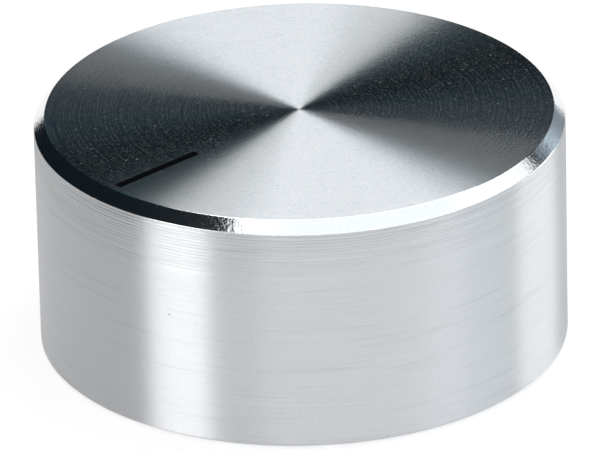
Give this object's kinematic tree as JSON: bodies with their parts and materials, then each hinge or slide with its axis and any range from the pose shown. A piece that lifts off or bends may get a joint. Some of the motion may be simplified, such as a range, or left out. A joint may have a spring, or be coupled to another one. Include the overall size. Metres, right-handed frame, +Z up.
{
  "type": "control knob",
  "caption": "Round turned aluminium control knob with a bevelled face, a black pointer line, a blind bore for a 6 mm shaft and a grub screw in its side.",
  "frame": {"origin": "centre of the underside, where the shaft axis meets the plane that the rim stands on", "axes": "+Z up the shaft axis, from the underside to the face; -Y from the shaft axis towards the pointer line; the grub screw comes in from +Y"},
  "size_m": [0.035, 0.035, 0.016],
  "materials": {
    "turned_aluminium": "fine turned, with a mirror-bright bevel",
    "blackened_steel": "black oxide",
    "black_enamel": "satin enamel"
  },
  "bodies": {
    "root": {"knob_body": "turned_aluminium", "grub_screw": "blackened_steel", "pointer_line": "black_enamel"}
  },
  "joints": []
}
